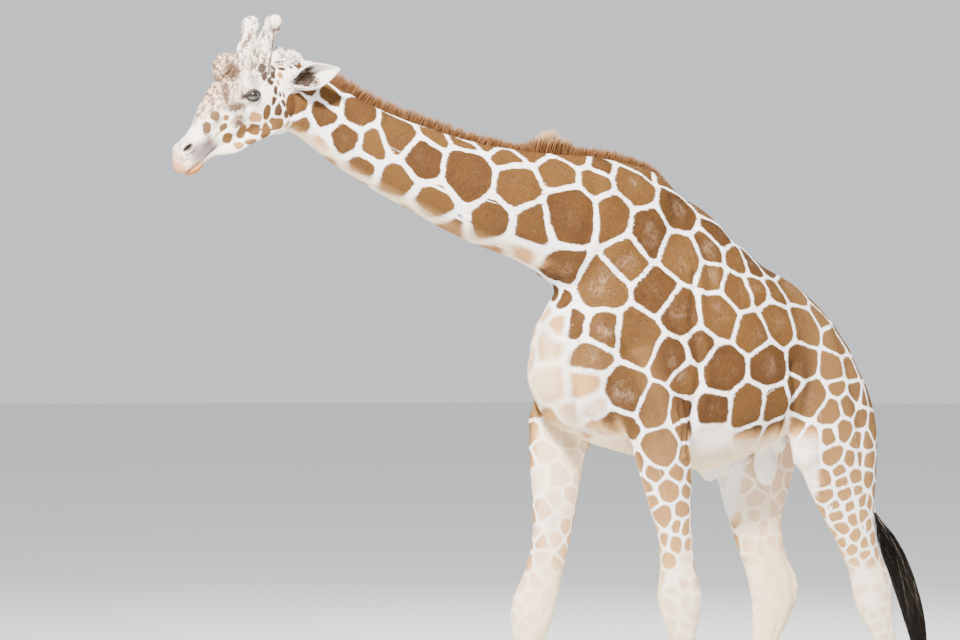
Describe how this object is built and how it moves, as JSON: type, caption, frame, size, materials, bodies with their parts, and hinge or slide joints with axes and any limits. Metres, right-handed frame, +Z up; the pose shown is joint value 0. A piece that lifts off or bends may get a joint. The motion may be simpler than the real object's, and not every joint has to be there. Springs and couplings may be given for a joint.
{
  "type": "reticulated giraffe",
  "caption": "Life-size still model of an adult male reticulated giraffe standing in mid-stride with its long neck lowered forward.",
  "frame": {"origin": "on the ground under the middle of the animal's box", "axes": "+X towards the tail (the head is at -X), +Y to the animal's right side, +Z up"},
  "size_m": [4.1356, 0.6496, 3.6229],
  "materials": {
    "hide": "short flat coat, brown patches parted by near-white lines",
    "ear": "short white hair outside, dark streaks inside",
    "ossicone": "rough pale skin-covered bone",
    "eye": "wet gloss",
    "hoof": "dull horn",
    "mane_hair": "stiff upright hair",
    "tail_hair": "long black hair"
  },
  "bodies": {
    "root": {"ear_left": "ear", "ear_right": "ear", "eye_left": "eye", "eye_right": "eye", "foreleg_left_lower": "hide", "foreleg_left_upper": "hide", "foreleg_right_lower": "hide", "foreleg_right_upper": "hide", "head": "hide", "hindleg_left_lower": "hide", "hindleg_left_upper": "hide", "hindleg_right_lower": "hide", "hindleg_right_upper": "hide", "hoof_front_left_inner": "hoof", "hoof_front_left_outer": "hoof", "hoof_front_right_inner": "hoof", "hoof_front_right_outer": "hoof", "hoof_hind_left_inner": "hoof", "hoof_hind_left_outer": "hoof", "hoof_hind_right_inner": "hoof", "hoof_hind_right_outer": "hoof", "lower_jaw": "hide", "mane": "mane_hair", "neck_lower": "hide", "neck_middle": "hide", "neck_upper": "hide", "ossicone_left": "ossicone", "ossicone_right": "ossicone", "tail": "hide", "tail_tuft": "tail_hair", "trunk": "hide"}
  },
  "joints": []
}
